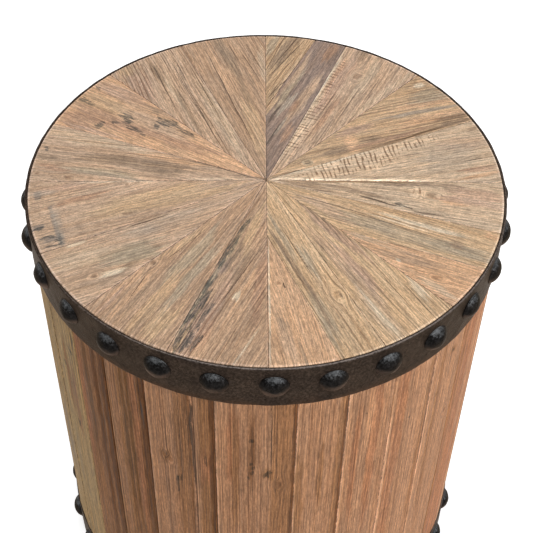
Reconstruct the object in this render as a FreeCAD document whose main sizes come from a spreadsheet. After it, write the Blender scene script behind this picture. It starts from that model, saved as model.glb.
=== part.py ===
import FreeCAD, Part
import math
import os
import Sketcher
from FreeCAD import Placement, Rotation, Vector

# Drum side table: a round top of sixteen reclaimed wedges inside a studded iron band, a drum of
# upright staves, and a second studded band round its foot. Millimetres, +Z up, the origin on the
# floor under the drum's centre. Angles are in degrees, anticlockwise from +X seen from above; the
# front of the table faces -Y (270 degrees).

# ---------------------------------------------------------------- driving dimensions
DIMENSIONS = {
    "total_height": 584.0,  # floor to the faces of the top boards
    # iron bands
    "band_diameter": 509.6,  # outside
    "band_thickness": 3.2,
    "band_width": 56.5,
    "band_drop": 0.4,  # the upper band's edge lies this far below the boards' faces
    "band_play": 0.2,  # between the iron and the wood that it goes round
    # decorative nails
    "stud_count": 28,
    "stud_turn": 2.5,  # the stud nearest the front stands this far round from it
    "stud_drop": 26.4,  # centre of the upper row below the boards' faces
    "stud_rise": 28.2,  # centre of the lower row above its band's lower edge
    "stud_head": 30.0,
    "stud_dome": 8.6,
    "stud_shoulder": 4.8,  # height of the ring where the hammered sides turn over to the crown
    "stud_shoulder_width": 25.0,
    "stud_crown_width": 11.8,
    "stud_shank": 4.6,  # square
    "stud_length": 17.0,
    # top
    "board_thickness": 12.0,
    "board_ease": 0.5,
    "core_thickness": 22.0,
    # staves
    "stave_diameter": 507.2,  # across the drum, at the staves' long edges
    "stave_crown": 420.0,  # radius of each stave's own face, flatter than the drum
    "stave_ease": 0.9,
    # inner frame
    "hoop_diameter": 472.0,  # the staves' flat backs stand against this round
    "hoop_width": 46.0,
    "hoop_thickness": 18.0,
    "bottom_thickness": 12.0,
    "post_width": 30.0,
    "post_count": 6,
    "tenon_width": 18.0,
    "tenon_reach": 6.0,  # past the hoop, into the core above or the bottom below
    # glides
    "glide_count": 4,
    "glide_diameter": 30.0,
    "glide_height": 4.0,
    "glide_circle": 410.0,
    "glide_pin": 2.6,  # square
    "glide_pin_length": 9.0,
}

# The seams between the sixteen wedges, hand cut and so a little uneven.
WEDGE_SEAMS = [0.5, 24.0, 46.2, 68.6, 91.0, 114.4, 136.9, 160.3,
               182.3, 206.8, 226.6, 249.0, 271.2, 297.2, 316.5, 343.0]

# Wedges glued up from two boards: the joint leaves a seam at a share of the top's radius and runs
# at an angle of its own. Wedge number: (angle of the seam it leaves, share of the radius, angle).
WEDGE_JOINTS = {4: (91.0, 0.47, 65.5), 13: (271.2, 0.33, 294.2), 15: (316.5, 0.41, 340.3)}

# Staves of random width, in degrees of the drum, anticlockwise from the seam at FIRST_STAVE.
FIRST_STAVE = 208.6
STAVE_WIDTHS = [11.6, 10.9, 11.5, 11.7, 5.1, 18.4, 11.7, 11.7, 12.1, 11.2,
                12.4, 13.9, 11.6, 14.2, 12.0, 13.3, 11.8, 14.6, 12.7, 13.1,
                12.2, 14.0, 11.9, 13.6, 12.5, 13.8, 12.1, 13.4, 11.0]

os.makedirs("parts", exist_ok=True)
doc = FreeCAD.newDocument("drum_side_table")
dims = doc.addObject("Spreadsheet::Sheet", "dims")
for row, (alias, number) in enumerate(DIMENSIONS.items(), start=1):
    dims.set("A%d" % row, alias)
    dims.set("B%d" % row, str(number))
    dims.setAlias("B%d" % row, alias)
doc.recompute()

# Lengths that several pieces share, as expressions on the sheet.
BAND_INSIDE = "(dims.band_diameter / 2 - dims.band_thickness)"
SEAT_RADIUS = "(dims.band_diameter / 2 - dims.band_thickness - dims.band_play)"
UNDER_BOARDS = "(dims.total_height - dims.board_thickness)"
UNDER_CORE = "(dims.total_height - dims.board_thickness - dims.core_thickness)"
HOOP_MIDDLE = "((dims.hoop_diameter - dims.hoop_width) / 2)"
LOWER_HOOP = "(dims.glide_height + dims.bottom_thickness)"
HEAD_SIDES = 10  # hammered faces round a nail's head
HOOP_SIDES = 12  # sawn sides inside a hoop

nodes = []


# ---------------------------------------------------------------- helpers
def value_of(expression):
    """The number that an expression on the sheet gives."""
    return float(dims.evalExpression(expression))


def new_body(label):
    body = doc.addObject("PartDesign::Body", label)
    body.Label = label
    return body


def new_sketch(body, name, role="XY_Plane"):
    """A sketch on one of the body's own origin planes."""
    sketch = body.newObject("Sketcher::SketchObject", name)
    plane = next(feature for feature in body.Origin.OriginFeatures if feature.Role == role)
    sketch.AttachmentSupport = [(plane, "")]
    sketch.MapMode = "FlatFace"
    return sketch


def drive(sketch, name, expression, kind, *where):
    """One driving dimension of a sketch, bound to the sheet."""
    number = value_of(expression)
    if kind == "Angle":
        number = math.radians(number)
        expression = "(%s) * 1 deg" % expression
    index = sketch.addConstraint(Sketcher.Constraint(kind, *where, number))
    sketch.renameConstraint(index, name)
    sketch.setExpression("Constraints." + name, expression)


def outline(sketch, corners):
    """A closed outline of straight lines; each corner is a pair of expressions from the origin."""
    points = [Vector(value_of(across), value_of(up), 0) for across, up in corners]
    first = sketch.GeometryCount
    for start, end in zip(points, points[1:] + points[:1]):
        sketch.addGeometry(Part.LineSegment(start, end))
    for step, (across, up) in enumerate(corners):
        line, before = first + step, first + (step - 1) % len(corners)
        sketch.addConstraint(Sketcher.Constraint("Coincident", before, 2, line, 1))
        drive(sketch, "across_%d" % line, across, "DistanceX", -1, 1, line, 1)
        drive(sketch, "up_%d" % line, up, "DistanceY", -1, 1, line, 1)


def square_outline(sketch, middle, half):
    """A square centred on the sketch's X axis."""
    near, far = "%s - %s" % (middle, half), "%s + %s" % (middle, half)
    outline(sketch, [(near, "-" + half), (far, "-" + half), (far, half), (near, half)])


def circle(sketch, name, radius):
    index = sketch.addGeometry(Part.Circle(Vector(), Vector(0, 0, 1), value_of(radius)))
    sketch.addConstraint(Sketcher.Constraint("Coincident", index, 3, -1, 1))
    drive(sketch, name, radius, "Radius", index)


def regular_outline(sketch, sides, radius):
    """A regular outline whose corners lie on a guide circle, the first of them on the X axis."""
    guide = sketch.addGeometry(Part.Circle(Vector(), Vector(0, 0, 1), value_of(radius)), True)
    sketch.addConstraint(Sketcher.Constraint("Coincident", guide, 3, -1, 1))
    drive(sketch, "guide", radius, "Radius", guide)
    turns = [Rotation(Vector(0, 0, 1), 360 * step / sides) for step in range(sides)]
    corners = [turn.multVec(Vector(value_of(radius), 0, 0)) for turn in turns]
    first = sketch.GeometryCount
    for start, end in zip(corners, corners[1:] + corners[:1]):
        sketch.addGeometry(Part.LineSegment(start, end))
    for step in range(sides):
        line, before = first + step, first + (step - 1) % sides
        sketch.addConstraint(Sketcher.Constraint("Coincident", before, 2, line, 1))
        sketch.addConstraint(Sketcher.Constraint("PointOnObject", line, 1, guide))
        if step:
            sketch.addConstraint(Sketcher.Constraint("Equal", first, line))
    sketch.addConstraint(Sketcher.Constraint("PointOnObject", first, 1, -1))


def pad(body, sketch, length):
    feature = body.newObject("PartDesign::Pad", sketch.Name + "_pad")
    feature.Profile = sketch
    feature.setExpression("Length", length)
    return feature


def ease(body, size, chosen):
    """Chamfer the edges of the body's last feature that the test picks."""
    doc.recompute()
    base = body.Tip
    names = ["Edge%d" % (number + 1) for number, edge in enumerate(base.Shape.Edges) if chosen(edge)]
    feature = body.newObject("PartDesign::Chamfer", body.Name + "_ease")
    feature.Base = (base, names)
    feature.setExpression("Size", size)
    return feature


def round_the_drum(body, originals, count):
    """Repeat features at even steps about the body's own Z axis, as separate solids."""
    body.AllowCompound = True
    axis = next(feature for feature in body.Origin.OriginFeatures if feature.Role == "Z_Axis")
    pattern = body.newObject("PartDesign::PolarPattern", body.Name + "_pattern")
    pattern.Originals = originals
    pattern.Axis = (axis, [""])
    pattern.Angle = 360.0
    pattern.setExpression("Occurrences", count)
    body.Tip = pattern


def place(body, height, turn="0"):
    """Set a body's height above the floor and its turn about the drum's axis."""
    body.Placement = Placement(Vector(), Rotation(Vector(0, 0, 1), value_of(turn)))
    body.setExpression("Placement.Base.z", height)
    body.setExpression("Placement.Rotation.Angle", "(%s) * 1 deg" % turn)


def cut_for(label, blank, *fixings):
    """The blank with the holes that its nails, pins or screws fill, as the named node."""
    shape = blank
    for step, fixing in enumerate(fixings, start=1):
        cut = doc.addObject("Part::Cut", "%s_cut_%d" % (label, step))
        cut.Base, cut.Tool = shape, fixing
        shape = cut
    shape.Label = label
    nodes.append(shape)


# ---------------------------------------------------------------- decorative nails
def forged_nail():
    """One nail along +X: a domed head hammered in flat facets, on a square shank."""
    back = value_of("dims.band_diameter / 2")
    rings = [(0.0, value_of("dims.stud_head / 2")),
             (value_of("dims.stud_shoulder"), value_of("dims.stud_shoulder_width / 2")),
             (value_of("dims.stud_dome"), value_of("dims.stud_crown_width / 2"))]
    corners = []
    for out, radius in rings:
        turns = [2 * math.pi * side / HEAD_SIDES for side in range(HEAD_SIDES)]
        corners.append([Vector(back + out, radius * math.cos(turn), radius * math.sin(turn))
                        for turn in turns])
    loops = [corners[0], corners[-1]]
    for lower, upper in zip(corners, corners[1:]):
        loops += [[lower[side - 1], lower[side], upper[side], upper[side - 1]]
                  for side in range(HEAD_SIDES)]
    facets = [Part.Face(Part.makePolygon(loop + loop[:1])) for loop in loops]
    head = Part.Solid(Part.Shell(facets))
    width = value_of("dims.stud_shank")
    reach = value_of("dims.stud_length")
    shank = Part.makeBox(reach, width, width, Vector(back - reach, -width / 2, -width / 2))
    return head.fuse(shank).removeSplitter()


def stud_row(label, height):
    """Nails at even steps round the drum."""
    row = doc.addObject("Part::Feature", label)
    row.Label = label
    nail = forged_nail()
    count = int(value_of("dims.stud_count"))
    places = [Placement(Vector(), Rotation(Vector(0, 0, 1), 360 * step / count)) for step in range(count)]
    row.Shape = Part.makeCompound([nail.transformed(spot.toMatrix(), copy=True) for spot in places])
    place(row, height, "dims.stud_turn - 90")
    nodes.append(row)
    return row


upper_studs = stud_row("upper_band_studs", "dims.total_height - dims.stud_drop")
lower_studs = stud_row("lower_band_studs", "dims.glide_height + dims.stud_rise")


# ---------------------------------------------------------------- posts and glides
posts = new_body("frame_posts")
post_plan = new_sketch(posts, "post_plan")
square_outline(post_plan, HOOP_MIDDLE, "dims.post_width / 2")
BETWEEN_HOOPS = UNDER_CORE + " - 2 * dims.hoop_thickness - " + LOWER_HOOP
post = pad(posts, post_plan, BETWEEN_HOOPS)
TENON_DEPTH = "(dims.hoop_thickness + dims.tenon_reach)"
tenon_plan = new_sketch(posts, "tenon_plan")
tenon_plan.setExpression("AttachmentOffset.Base.z", "-" + TENON_DEPTH)
square_outline(tenon_plan, HOOP_MIDDLE, "dims.tenon_width / 2")
tenons = pad(posts, tenon_plan, BETWEEN_HOOPS + " + 2 * " + TENON_DEPTH)
round_the_drum(posts, [post, tenons], "dims.post_count")
place(posts, LOWER_HOOP + " + dims.hoop_thickness", "180 / dims.post_count")
nodes.append(posts)

glides = new_body("glides")
foot_plan = new_sketch(glides, "foot_plan")
foot_plan.setExpression("AttachmentOffset.Base.x", "dims.glide_circle / 2")
circle(foot_plan, "foot", "dims.glide_diameter / 2")
foot = pad(glides, foot_plan, "dims.glide_height")
pin_plan = new_sketch(glides, "pin_plan")
square_outline(pin_plan, "dims.glide_circle / 2", "dims.glide_pin / 2")
pin = pad(glides, pin_plan, "dims.glide_height + dims.glide_pin_length")
round_the_drum(glides, [foot, pin], "dims.glide_count")
place(glides, "0", "180 / dims.glide_count")
nodes.append(glides)


# ---------------------------------------------------------------- iron bands
def iron_band(label, lower_edge, studs):
    """A flat iron hoop, pierced by its nails."""
    blank = new_body(label + "_blank")
    ring = new_sketch(blank, label + "_ring")
    circle(ring, "outside", "dims.band_diameter / 2")
    circle(ring, "inside", BAND_INSIDE)
    pad(blank, ring, "dims.band_width")
    place(blank, lower_edge)
    cut_for(label, blank, studs)


iron_band("upper_iron_band", "dims.total_height - dims.band_drop - dims.band_width", upper_studs)
iron_band("lower_iron_band", "dims.glide_height", lower_studs)


# ---------------------------------------------------------------- top boards
def joint_outline(seam, leave, share, angle, side):
    """The waste beside a board joint, in a wedge's own frame whose first seam lies along +X."""
    radius = value_of(SEAT_RADIUS)
    start = Rotation(Vector(0, 0, 1), leave - seam).multVec(Vector(share * radius, 0, 0))
    along = Rotation(Vector(0, 0, 1), angle - seam).multVec(Vector(2 * radius, 0, 0))
    aside = Rotation(Vector(0, 0, 1), side * 90).multVec(along)
    return [start - along, start + along, start + along + aside, start - along + aside]


def top_board(label, seam, next_seam, joint=None, side=0):
    """A wedge of the top, or its part on one side of a board joint, eased along its seams."""
    body = new_body(label)
    sector = new_sketch(body, label + "_sector")
    radius = value_of(SEAT_RADIUS)
    width = (next_seam - seam) % 360
    far = Rotation(Vector(0, 0, 1), width).multVec(Vector(radius, 0, 0))
    sector.addGeometry(Part.LineSegment(Vector(), Vector(radius, 0, 0)))
    rim = Part.Circle(Vector(), Vector(0, 0, 1), radius)
    sector.addGeometry(Part.ArcOfCircle(rim, 0, math.radians(width)))
    sector.addGeometry(Part.LineSegment(far, Vector()))
    for pair in [(0, 1, -1, 1), (1, 3, -1, 1), (0, 2, 1, 1), (1, 2, 2, 1), (2, 2, -1, 1)]:
        sector.addConstraint(Sketcher.Constraint("Coincident", *pair))
    sector.addConstraint(Sketcher.Constraint("Horizontal", 0))
    drive(sector, "rim", SEAT_RADIUS, "Radius", 1)
    drive(sector, "width", str(width), "Angle", 0, 1, 2, 2)
    pad(body, sector, "dims.board_thickness")
    if joint:
        waste = new_sketch(body, label + "_waste")
        corners = joint_outline(seam, *joint, side)
        for start, end in zip(corners, corners[1:] + corners[:1]):
            waste.addGeometry(Part.LineSegment(start, end))
        sawn = body.newObject("PartDesign::Pocket", label + "_sawn")
        sawn.Profile = waste
        sawn.Reversed = True
        sawn.setExpression("Length", "dims.board_thickness")
    upper = value_of("dims.board_thickness")
    ease(body, "dims.board_ease",
         lambda edge: edge.BoundBox.ZMin > upper - 0.01 and not hasattr(edge.Curve, "Radius"))
    place(body, UNDER_BOARDS, str(seam))
    nodes.append(body)


for number, seam in enumerate(WEDGE_SEAMS, start=1):
    next_seam = WEDGE_SEAMS[number % len(WEDGE_SEAMS)]
    if number in WEDGE_JOINTS:
        joint = WEDGE_JOINTS[number]
        top_board("top_wedge_%02d_first_board" % number, seam, next_seam, joint, 1)
        top_board("top_wedge_%02d_second_board" % number, seam, next_seam, joint, -1)
    else:
        top_board("top_wedge_%02d" % number, seam, next_seam)

# ---------------------------------------------------------------- core of the top
core_blank = new_body("top_core_blank")
core_disc = new_sketch(core_blank, "core_disc")
circle(core_disc, "outside", SEAT_RADIUS)
pad(core_blank, core_disc, "dims.core_thickness")
place(core_blank, UNDER_CORE)
cut_for("top_core", core_blank, upper_studs, posts)


# ---------------------------------------------------------------- staves
def stave(label, start, width):
    """An upright board: flat back, mitred sides, crowned face, rebated for the bands."""
    blank = new_body(label + "_blank")
    half = width / 2
    side = Vector(math.cos(math.radians(half)), math.sin(math.radians(half)), 0)
    back = value_of("dims.hoop_diameter / 2")
    edge = value_of("dims.stave_diameter / 2")
    crown = value_of("dims.stave_crown")
    inner, outer = side * (back / side.x), side * edge
    inner_low, outer_low = Vector(inner.x, -inner.y, 0), Vector(outer.x, -outer.y, 0)
    centre = Vector(outer.x - math.sqrt(crown ** 2 - outer.y ** 2), 0, 0)
    swing = math.asin(outer.y / crown)
    plan = new_sketch(blank, label + "_plan")
    plan.addGeometry(Part.LineSegment(inner, inner_low))
    plan.addGeometry(Part.LineSegment(inner_low, outer_low))
    plan.addGeometry(Part.ArcOfCircle(Part.Circle(centre, Vector(0, 0, 1), crown), -swing, swing))
    plan.addGeometry(Part.LineSegment(outer, inner))
    for pair in [(0, 2, 1, 1), (1, 2, 2, 1), (2, 2, 3, 1), (3, 2, 0, 1)]:
        plan.addConstraint(Sketcher.Constraint("Coincident", *pair))
    plan.addConstraint(Sketcher.Constraint("Symmetric", 0, 1, 0, 2, -1))
    plan.addConstraint(Sketcher.Constraint("Symmetric", 2, 1, 2, 2, -1))
    plan.addConstraint(Sketcher.Constraint("PointOnObject", -1, 1, 3))
    drive(plan, "back", "dims.hoop_diameter / 2", "DistanceX", -1, 1, 0, 1)
    drive(plan, "edge", "dims.stave_diameter / 2", "Distance", -1, 1, 2, 2)
    drive(plan, "crown", "dims.stave_crown", "Radius", 2)
    drive(plan, "width", str(width), "Angle", 1, 1, 3, 2)
    height = UNDER_CORE + " - dims.glide_height"
    pad(blank, plan, height)
    rebates = new_sketch(blank, label + "_rebates", "XZ_Plane")
    outside = "dims.band_diameter / 2"
    foot = "dims.band_width + dims.band_play"
    head = "dims.total_height - dims.band_drop - dims.band_width - dims.band_play - dims.glide_height"
    outline(rebates, [(SEAT_RADIUS, "-1"), (outside, "-1"), (outside, foot), (SEAT_RADIUS, foot)])
    outline(rebates, [(SEAT_RADIUS, head), (outside, head),
                      (outside, height + " + 1"), (SEAT_RADIUS, height + " + 1")])
    groove = blank.newObject("PartDesign::Groove", label + "_groove")
    groove.Profile = rebates
    groove.ReferenceAxis = (rebates, ["V_Axis"])
    groove.Angle = 360.0
    ease(blank, "dims.stave_ease",
         lambda edge_: edge_.BoundBox.ZLength > 100
         and abs(math.hypot(edge_.BoundBox.XMin, edge_.BoundBox.YMin) - edge) < 0.01)
    place(blank, "dims.glide_height", str(start + half))
    cut_for(label, blank, lower_studs)


start = FIRST_STAVE
for number, width in enumerate(STAVE_WIDTHS, start=1):
    stave("stave_%02d" % number, start, width)
    start += width


# ---------------------------------------------------------------- hoops and bottom
def stave_backs(sketch):
    """The outline that the staves' flat backs enclose: one side for each stave."""
    radius = value_of("dims.hoop_diameter / 2")
    guide = sketch.addGeometry(Part.Circle(Vector(), Vector(0, 0, 1), radius), True)
    sketch.addConstraint(Sketcher.Constraint("Coincident", guide, 3, -1, 1))
    drive(sketch, "guide", "dims.hoop_diameter / 2", "Radius", guide)
    middles = []
    seam = FIRST_STAVE
    for width in STAVE_WIDTHS:
        middles.append(seam + width / 2)
        seam += width
    corners = []
    for middle, after in zip(middles, middles[1:] + [middles[0] + 360]):
        out = radius / math.cos(math.radians(after - middle) / 2)
        corners.append(Rotation(Vector(0, 0, 1), (middle + after) / 2).multVec(Vector(out, 0, 0)))
    first = sketch.GeometryCount
    count = len(corners)
    for step in range(count):
        sketch.addGeometry(Part.LineSegment(corners[step - 1], corners[step]))
    for step, middle in enumerate(middles):
        line = first + step
        sketch.addConstraint(Sketcher.Constraint("Coincident", first + (step - 1) % count, 2, line, 1))
        sketch.addConstraint(Sketcher.Constraint("Tangent", line, guide))
        heading = math.remainder(math.radians(middle + 90), 2 * math.pi)
        sketch.addConstraint(Sketcher.Constraint("Angle", line, heading))


def inner_disc(label, height, thickness, open_inside, *fixings):
    """A plywood piece inside the drum, sawn to the staves' backs; a hoop is open inside."""
    body = new_body(label + "_blank")
    plan = new_sketch(body, label + "_plan")
    stave_backs(plan)
    pad(body, plan, thickness)
    if open_inside:
        hole = new_sketch(body, label + "_hole")
        regular_outline(hole, HOOP_SIDES, "dims.hoop_diameter / 2 - dims.hoop_width")
        sawn = body.newObject("PartDesign::Pocket", label + "_sawn")
        sawn.Profile = hole
        sawn.Reversed = True
        sawn.setExpression("Length", thickness)
    place(body, height)
    cut_for(label, body, *fixings)


inner_disc("upper_hoop", UNDER_CORE + " - dims.hoop_thickness", "dims.hoop_thickness", True, posts)
inner_disc("lower_hoop", LOWER_HOOP, "dims.hoop_thickness", True, posts)
inner_disc("bottom_panel", "dims.glide_height", "dims.bottom_thickness", False, glides, posts)

# ---------------------------------------------------------------- check and export
doc.recompute()
for item in doc.Objects:
    if "Invalid" in item.State or "Error" in item.State:
        raise RuntimeError("%s did not compute: %s" % (item.Label, item.State))
for node in nodes:
    if node.Shape.isNull() or not node.Shape.isValid() or not node.Shape.Solids:
        raise RuntimeError("%s has no sound solid" % node.Label)
    node.Shape.exportStep("parts/%s.step" % node.Label)
print("%d nodes, %d solids" % (len(nodes), sum(len(node.Shape.Solids) for node in nodes)))
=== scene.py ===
import bpy
import math
import numpy as np
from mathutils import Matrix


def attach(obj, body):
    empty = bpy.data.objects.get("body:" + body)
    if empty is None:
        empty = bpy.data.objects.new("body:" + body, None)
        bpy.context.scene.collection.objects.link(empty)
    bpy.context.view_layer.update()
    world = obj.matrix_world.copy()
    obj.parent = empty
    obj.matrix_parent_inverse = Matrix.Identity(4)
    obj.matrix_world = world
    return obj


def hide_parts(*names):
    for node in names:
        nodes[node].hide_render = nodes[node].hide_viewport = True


# A drum side table: a starburst top of reclaimed pine inside a blackened iron band with domed
# nails, over a drum of upright pine staves that a second band and row of nails holds at the foot.
# Metres, +Z up, the front facing -Y; angles are degrees anticlockwise from +X, seen from above.

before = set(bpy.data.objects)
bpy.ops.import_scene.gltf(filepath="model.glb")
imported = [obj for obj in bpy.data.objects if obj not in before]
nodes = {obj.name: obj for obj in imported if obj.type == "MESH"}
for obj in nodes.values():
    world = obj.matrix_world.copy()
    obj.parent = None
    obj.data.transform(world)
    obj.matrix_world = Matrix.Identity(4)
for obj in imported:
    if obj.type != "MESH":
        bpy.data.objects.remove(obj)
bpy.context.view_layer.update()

# ---------------------------------------------------------------- glides
# Four moulded black nylon glides, each knocked into the bottom on its own pin so that the drum
# stands clear of the floor. The moulding is fine-grained and scuffed where it slides.


def paint(red, green, blue):
    """A colour as a paint card gives it, 0 to 255, in the shader's own light scale."""
    parts = [value / 255 for value in (red, green, blue)]
    return tuple(p / 12.92 if p < 0.04045 else ((p + 0.055) / 1.055) ** 2.4 for p in parts) + (1.0,)


def add(tree, kind, sockets=None, **settings):
    """A node with its settings; a socket takes a value or another node's output."""
    node = tree.nodes.new(kind)
    for name, value in settings.items():
        setattr(node, name, value)
    for key, value in (sockets or {}).items():
        if isinstance(value, Wire):
            tree.links.new(value.socket, node.inputs[key])
        else:
            node.inputs[key].default_value = value
    return node


def wire(tree, kind, sockets=None, output=0, **settings):
    """One output of a new node."""
    return Wire(add(tree, kind, sockets, **settings), output)


class Wire:
    """One output of a node, which takes part in sums as a number, a vector or a colour does."""

    def __init__(self, node, output=0):
        self.tree = node.id_data
        self.socket = node.outputs[output]

    def maths(self, operation, *others):
        return wire(self.tree, "ShaderNodeMath", dict(enumerate((self, *others))), operation=operation)

    def parts(self):
        """The three parts of a vector or a colour."""
        split = add(self.tree, "ShaderNodeSeparateXYZ", {0: self})
        return [Wire(split, axis) for axis in range(3)]

    def __add__(self, other):
        return self.maths("ADD", other)

    def __sub__(self, other):
        return self.maths("SUBTRACT", other)

    def __mul__(self, other):
        """Numbers multiply; a vector is scaled by a number or, part by part, by three numbers."""
        if self.socket.type not in ("VECTOR", "RGBA"):
            return self.maths("MULTIPLY", other)
        if isinstance(other, tuple):
            return wire(self.tree, "ShaderNodeVectorMath", {0: self, 1: other}, operation="MULTIPLY")
        return wire(self.tree, "ShaderNodeVectorMath", {0: self, "Scale": other}, operation="SCALE")


def noise(vector, detail=2.0, roughness=0.5, distortion=0.0):
    """Cloudy noise, centred on 0.5, one cloud to each unit of the vector."""
    return wire(vector.tree, "ShaderNodeTexNoise", {
        "Vector": vector, "Scale": 1.0, "Detail": detail, "Roughness": roughness,
        "Distortion": distortion}, "Fac")


def rise(value, low, high):
    """A soft step: 0 at low, 1 at high."""
    return wire(value.tree, "ShaderNodeMapRange", {"Value": value, "From Min": low, "From Max": high},
                interpolation_type="SMOOTHSTEP")


def spread(value, least, most, start=0.0, end=1.0):
    """The least where a value is at its start, the most at its end, and a straight line between."""
    return wire(value.tree, "ShaderNodeMapRange", {"Value": value, "From Min": start, "From Max": end,
                                                   "To Min": least, "To Max": most})


def lay(amount, under, over):
    """One colour laid over another by an amount."""
    return wire(amount.tree, "ShaderNodeMix", {0: amount, 6: under, 7: over}, 2, data_type="RGBA")


def new_finish(name, **sockets):
    """A material with its shader's own values set."""
    material = bpy.data.materials.new(name)
    material.use_nodes = True
    for key, value in sockets.items():
        material.node_tree.nodes["Principled BSDF"].inputs[key.replace("_", " ")].default_value = value
    return material


def place_on(material):
    """Where a point of the piece lies, in metres."""
    return wire(material.node_tree, "ShaderNodeTexCoord", output="Object")


def coat(material, colour, roughness, height, relief):
    """The material with its colour, its roughness and a height of so many metres joined to it."""
    tree = material.node_tree
    bump = wire(tree, "ShaderNodeBump", {"Height": height, "Strength": 1.0, "Distance": relief})
    for name, part in (("Base Color", colour), ("Roughness", roughness), ("Normal", bump)):
        tree.links.new(part.socket, tree.nodes["Principled BSDF"].inputs[name])
    return material


def dress(node, material):
    """Give a CAD node its finish."""
    nodes[node].data.materials.clear()
    nodes[node].data.materials.append(material)


def nylon_finish():
    """Black nylon with a fine moulded grain and paler scuffs."""
    material = new_finish("glide_nylon", Specular_IOR_Level=0.4)
    place = place_on(material)
    grain = noise(place * (1800, 1800, 1800), 3)
    scuff = rise(noise(place * (300, 60, 300), 4, 0.7), 0.55, 0.75)
    colour = lay(grain, paint(24, 24, 25), paint(38, 37, 37))
    colour = lay(scuff, colour, paint(92, 90, 88))
    return coat(material, colour, spread(scuff, 0.42, 0.7), grain, relief=0.0002)


dress("glides", nylon_finish())

# ---------------------------------------------------------------- plywood core, hoops and bottom
# The top's core, the two hoops that the staves stand against and the bottom are birch plywood,
# sawn to shape. Their faces show one wide veneer, their edges the bands of the plies.

PLY = 0.0028  # thickness of one ply


def plywood_finish():
    """Birch plywood: veneer where it faces up or down, the plies' bands round its edges."""
    material = new_finish("birch_plywood", Specular_IOR_Level=0.3)
    place = place_on(material)
    level = wire(place.tree, "ShaderNodeNewGeometry", output="Normal").parts()[2].maths("ABSOLUTE")
    edge = rise(level, 0.75, 0.35)
    veneer = noise(place * (6, 90, 6), 4, 0.6, 0.4)
    flecks = rise(noise(place * (90, 700, 700)), 0.62, 0.72)
    plies = rise((place.parts()[2] * (1 / PLY)).maths("PINGPONG", 1.0), 0.35, 0.65)
    face = lay(veneer, paint(206, 176, 134), paint(226, 203, 166))
    face = lay(flecks * 0.5, face, paint(158, 120, 82))
    sawn = lay(plies, paint(150, 112, 74), paint(214, 184, 140))
    sawn = lay(veneer * 0.3, sawn, paint(120, 88, 60))
    colour = lay(edge, face, sawn)
    return coat(material, colour, spread(veneer, 0.6, 0.8), plies * edge + flecks, relief=0.0002)


plywood = plywood_finish()
for sheet in ("bottom_panel", "lower_hoop", "upper_hoop", "top_core"):
    dress(sheet, plywood)

# ---------------------------------------------------------------- frame posts
# Six square pine battens stand between the hoops, tenoned through both: planed softwood with
# brown growth lines up the length, paler between them.


def batten_finish():
    """Planed pine with its grain upright."""
    material = new_finish("planed_batten_pine", Specular_IOR_Level=0.3)
    place = place_on(material)
    lines = noise(place * (160, 160, 3), 3, 0.55, 0.3)
    fibre = noise(place * (900, 900, 20), 3, 0.6)
    colour = lay(noise(place * (8, 8, 3)), paint(214, 178, 130), paint(230, 200, 158))
    colour = lay(rise(lines, 0.52, 0.66), colour, paint(176, 124, 76))
    colour = lay(fibre * 0.4, colour, paint(196, 156, 108))
    return coat(material, colour, spread(fibre, 0.55, 0.75), lines + fibre, relief=0.0003)


dress("frame_posts", batten_finish())

# ---------------------------------------------------------------- staves
# Twenty-nine upright staves of reclaimed pine, random in width, sawn with mitred sides and a face
# a little flatter than the drum, their long edges eased. Both ends are rebated for the bands.

TONES = {
    "bone": paint(230, 210, 182), "sand": paint(208, 181, 152), "wheat": paint(206, 174, 138),
    "tan": paint(196, 166, 139), "honey": paint(199, 167, 133), "orange": paint(210, 170, 135),
    "rose": paint(190, 158, 135), "clay": paint(186, 154, 126), "russet": paint(180, 144, 118),
    "olive": paint(176, 158, 134), "ash": paint(172, 158, 142), "umber": paint(154, 130, 107),
    "slate": paint(152, 130, 116), "lead": paint(141, 128, 116), "soot": paint(88, 76, 68),
    "pine": paint(187, 139, 104), "red_pine": paint(180, 124, 88), "brown_pine": paint(160, 114, 77),
    "dun_pine": paint(187, 155, 110), "dark_pine": paint(112, 75, 40),
}
# marks that lighten or darken a board's own tone; along the staves' edges and some seams they are painted
# highlight and painted shade as well as wear and grime
SHADES = {"worn_and_highlit": (1.5, 1.5, 1.5, 1), "light": (1.3, 1.3, 1.28, 1), "grime_and_shade": (0.46, 0.39, 0.3, 1)}
FIELDS = {"knot": 0, "stain": 1, "saw": 2, "grey": 3}  # marks that the finish itself draws
SAW_GROOVES = 205  # cross-cut grooves in a metre


def new_tree(name, kind, inputs, outputs):
    """A node tree and its named inputs; an input given as a number starts at that number."""
    tree = bpy.data.node_groups.new(name, kind)
    for label, value in inputs.items():
        given = value if isinstance(value, str) else type(value).__name__.capitalize()
        socket = tree.interface.new_socket(label, in_out="INPUT", socket_type="NodeSocket" + given)
        if given is not value:
            socket.default_value = value
    for label, given in outputs.items():
        tree.interface.new_socket(label, in_out="OUTPUT", socket_type="NodeSocket" + given)
    source = add(tree, "NodeGroupInput")
    return tree, {label: Wire(source, label) for label in inputs}


def uneven(value, cloud, width):
    """A value that a cloud throws to either side, over a width."""
    return cloud * width + (value - width / 2)


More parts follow.
